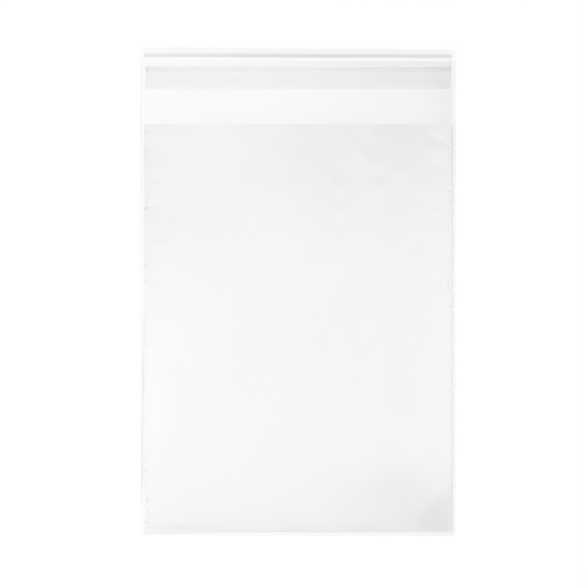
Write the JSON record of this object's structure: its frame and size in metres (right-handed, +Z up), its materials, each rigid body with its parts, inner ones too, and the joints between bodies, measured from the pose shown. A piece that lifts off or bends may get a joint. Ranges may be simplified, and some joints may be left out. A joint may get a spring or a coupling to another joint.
{
  "type": "plastic flap bag",
  "caption": "Clear film bag with welded sides, a folded bottom and an open mouth, and a flap that carries an adhesive strip under a peel-off release liner.",
  "frame": {"origin": "on the table, under the middle of the bag's box, with the bag lying on its back panel", "axes": "+X across the bag, +Y from the bottom fold towards the flap, +Z up, out of the front panel"},
  "size_m": [0.1554, 0.241, 0.0057],
  "materials": {
    "film": "clear, glossy film",
    "adhesive": "clear, tacky",
    "liner": "clear, slightly hazy film"
  },
  "bodies": {
    "root": {"film_bag": "film", "adhesive_strip": "adhesive", "release_liner": "liner"}
  },
  "joints": []
}
